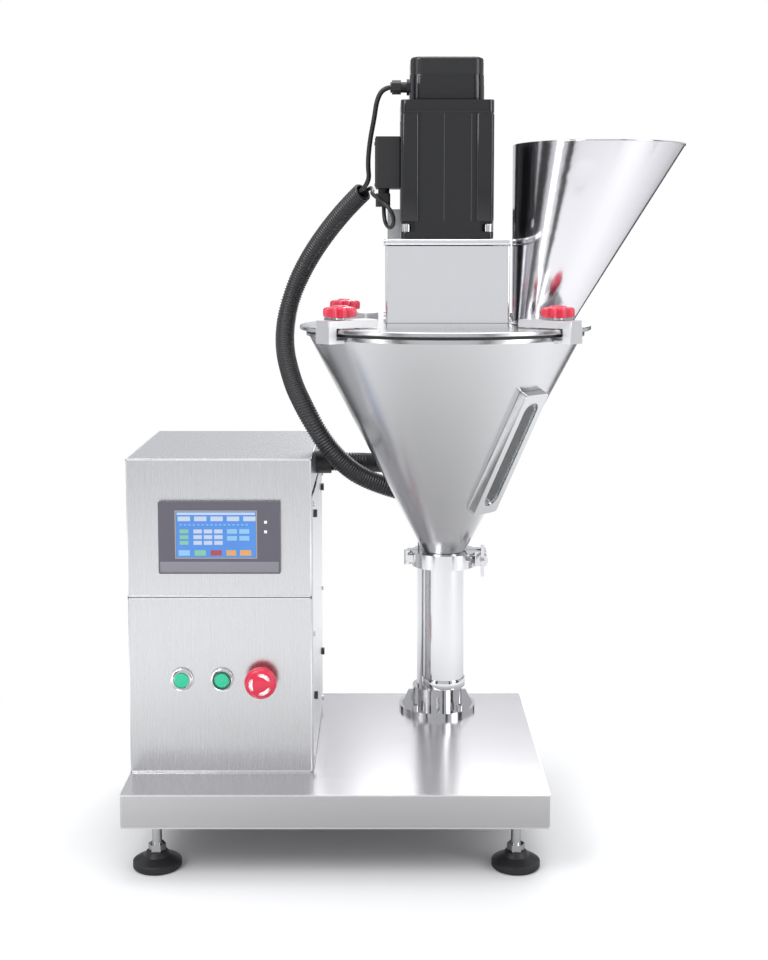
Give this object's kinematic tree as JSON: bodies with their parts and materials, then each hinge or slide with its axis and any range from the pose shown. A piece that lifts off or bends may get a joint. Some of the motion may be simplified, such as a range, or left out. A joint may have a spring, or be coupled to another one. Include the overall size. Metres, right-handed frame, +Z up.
{
  "type": "auger powder filler",
  "caption": "Tabletop auger filler: cone hopper under a servo head on a post, control cabinet with touch panel, and a levelled base.",
  "frame": {"origin": "on the floor under the middle of the machine outline, at rest", "axes": "+Z up, front of the machine towards -Y"},
  "size_m": [0.6862, 0.452, 0.99],
  "materials": {
    "brushed_stainless": "fine vertical brush, satin",
    "satin_stainless": "bead-blasted satin",
    "polished_stainless": "mirror polish",
    "bright_steel": "machined and plated fasteners",
    "dark_screw": "black oxide",
    "dark_plate": "black painted steel",
    "clamp_alloy": "cast and tumbled",
    "red_grip": "glossy ribbed plastic",
    "stop_red": "glossy",
    "button_green": "glossy",
    "screen_frame": "fine texture",
    "screen_glass": "lit display under clear film",
    "motor_black": "gloss black enamel",
    "box_black": "moulded",
    "foot_black": "moulded nylon",
    "seal_black": "smooth seal",
    "hose_black": "corrugated conduit",
    "cable_black": "smooth sheath",
    "window_clear": "clear acrylic",
    "grey_case": "satin grey case",
    "contact_grey": "moulded"
  },
  "bodies": {
    "frame": {"auger_tube": "polished_stainless", "base_tray": "brushed_stainless", "bearings": "bright_steel", "button_bezels": "bright_steel", "cabinet_body": "brushed_stainless", "cable_glands": "box_black", "cable_hose": "hose_black", "cap_screws": "bright_steel", "clamp_studs": "bright_steel", "connector_box": "box_black", "contact_blocks": "contact_grey", "cover_bolts": "dark_screw", "encoder_cable": "cable_black", "encoder_cap": "motor_black", "feed_chute": "polished_stainless", "foot_pads": "foot_black", "foot_plates": "dark_plate", "front_panel_lower": "brushed_stainless", "front_panel_upper": "brushed_stainless", "head_box": "polished_stainless", "head_box_cover": "polished_stainless", "head_bracket": "satin_stainless", "hmi_bezel": "screen_frame", "hmi_screen": "screen_glass", "hopper_cone": "satin_stainless", "lid": "satin_stainless", "lid_gasket": "seal_black", "motor_body": "motor_black", "motor_cable": "cable_black", "panel_screws": "bright_steel", "post_flange": "polished_stainless", "post_tube": "polished_stainless", "power_inlet": "box_black", "servo_drive": "grey_case", "side_cover": "brushed_stainless", "tri_clamp_front": "polished_stainless", "tri_clamp_rear": "polished_stainless", "window_frame": "satin_stainless", "window_pane": "window_clear"},
    "foot_screw_front_left": {"foot_stud_front_left": "bright_steel"},
    "foot_screw_front_right": {"foot_stud_front_right": "bright_steel"},
    "foot_screw_rear_left": {"foot_stud_rear_left": "bright_steel"},
    "foot_screw_rear_right": {"foot_stud_rear_right": "bright_steel"},
    "drive_train": {"auger_screw": "polished_stainless", "shaft_coupling": "clamp_alloy", "motor_shaft": "bright_steel", "stirrer": "satin_stainless"},
    "clamp_front_left": {"clamp_bar_front_left": "clamp_alloy"},
    "knob_front_left": {"clamp_knob_front_left": "red_grip"},
    "clamp_front_right": {"clamp_bar_front_right": "clamp_alloy"},
    "knob_front_right": {"clamp_knob_front_right": "red_grip"},
    "clamp_rear_left": {"clamp_bar_rear_left": "clamp_alloy"},
    "knob_rear_left": {"clamp_knob_rear_left": "red_grip"},
    "clamp_rear_right": {"clamp_bar_rear_right": "clamp_alloy"},
    "knob_rear_right": {"clamp_knob_rear_right": "red_grip"},
    "start_button": {"button_start": "button_green"},
    "run_button": {"button_run": "button_green"},
    "estop_plunger": {"estop_stem": "bright_steel"},
    "estop_button": {"estop_head": "stop_red"},
    "swing_bolt": {"tri_clamp_bolt": "bright_steel"}
  },
  "joints": [
    {"name": "foot_turn_front_left", "type": "hinge", "parent": "frame", "child": "foot_screw_front_left", "pos_m": [-0.30655, -0.115, 0.03], "axis": [0, 0, 1], "continuous": true},
    {"name": "foot_turn_front_right", "type": "hinge", "parent": "frame", "child": "foot_screw_front_right", "pos_m": [0.13745, -0.115, 0.03], "axis": [0, 0, 1], "continuous": true},
    {"name": "foot_turn_rear_left", "type": "hinge", "parent": "frame", "child": "foot_screw_rear_left", "pos_m": [-0.30655, 0.178, 0.03], "axis": [0, 0, 1], "continuous": true},
    {"name": "foot_turn_rear_right", "type": "hinge", "parent": "frame", "child": "foot_screw_rear_right", "pos_m": [0.13745, 0.178, 0.03], "axis": [0, 0, 1], "continuous": true},
    {"name": "auger_spin", "type": "hinge", "parent": "frame", "child": "drive_train", "pos_m": [0.05005, -0.046, 0.5], "axis": [0, 0, 1], "continuous": true},
    {"name": "clamp_slide_front_left", "type": "slide", "parent": "frame", "child": "clamp_front_left", "axis": [-0.766, -0.6428, 0], "range_m": [0, 0.016]},
    {"name": "knob_turn_front_left", "type": "hinge", "parent": "frame", "child": "knob_front_left", "pos_m": [-0.07711, -0.1527, 0.69], "axis": [0, 0, 1], "range_deg": [0, 1080]},
    {"name": "clamp_slide_front_right", "type": "slide", "parent": "frame", "child": "clamp_front_right", "axis": [0.766, -0.6428, 0], "range_m": [0, 0.016]},
    {"name": "knob_turn_front_right", "type": "hinge", "parent": "frame", "child": "knob_front_right", "pos_m": [0.17721, -0.1527, 0.69], "axis": [0, 0, 1], "range_deg": [0, 1080]},
    {"name": "clamp_slide_rear_left", "type": "slide", "parent": "frame", "child": "clamp_rear_left", "axis": [-0.766, 0.6428, 0], "range_m": [0, 0.016]},
    {"name": "knob_turn_rear_left", "type": "hinge", "parent": "frame", "child": "knob_rear_left", "pos_m": [-0.07711, 0.0607, 0.69], "axis": [0, 0, 1], "range_deg": [0, 1080]},
    {"name": "clamp_slide_rear_right", "type": "slide", "parent": "frame", "child": "clamp_rear_right", "axis": [0.766, 0.6428, 0], "range_m": [0, 0.016]},
    {"name": "knob_turn_rear_right", "type": "hinge", "parent": "frame", "child": "knob_rear_right", "pos_m": [0.17721, 0.0607, 0.69], "axis": [0, 0, 1], "range_deg": [0, 1080]},
    {"name": "start_press", "type": "slide", "parent": "frame", "child": "start_button", "axis": [0, 1, 0], "range_m": [0, 0.004], "stiffness_N_per_m": 600},
    {"name": "run_press", "type": "slide", "parent": "frame", "child": "run_button", "axis": [0, 1, 0], "range_m": [0, 0.004], "stiffness_N_per_m": 600},
    {"name": "estop_press", "type": "slide", "parent": "frame", "child": "estop_plunger", "axis": [0, 1, 0], "range_m": [0, 0.0045]},
    {"name": "estop_twist", "type": "hinge", "parent": "estop_plunger", "child": "estop_button", "pos_m": [-0.17805, -0.099, 0.228], "axis": [0, 1, 0], "range_deg": [0, 45], "stiffness_Nm_per_rad": 0.3},
    {"name": "swing_bolt_turn", "type": "hinge", "parent": "frame", "child": "swing_bolt", "pos_m": [0.09705, -0.036, 0.374], "axis": [0, 0, 1], "range_deg": [0, 100]}
  ]
}
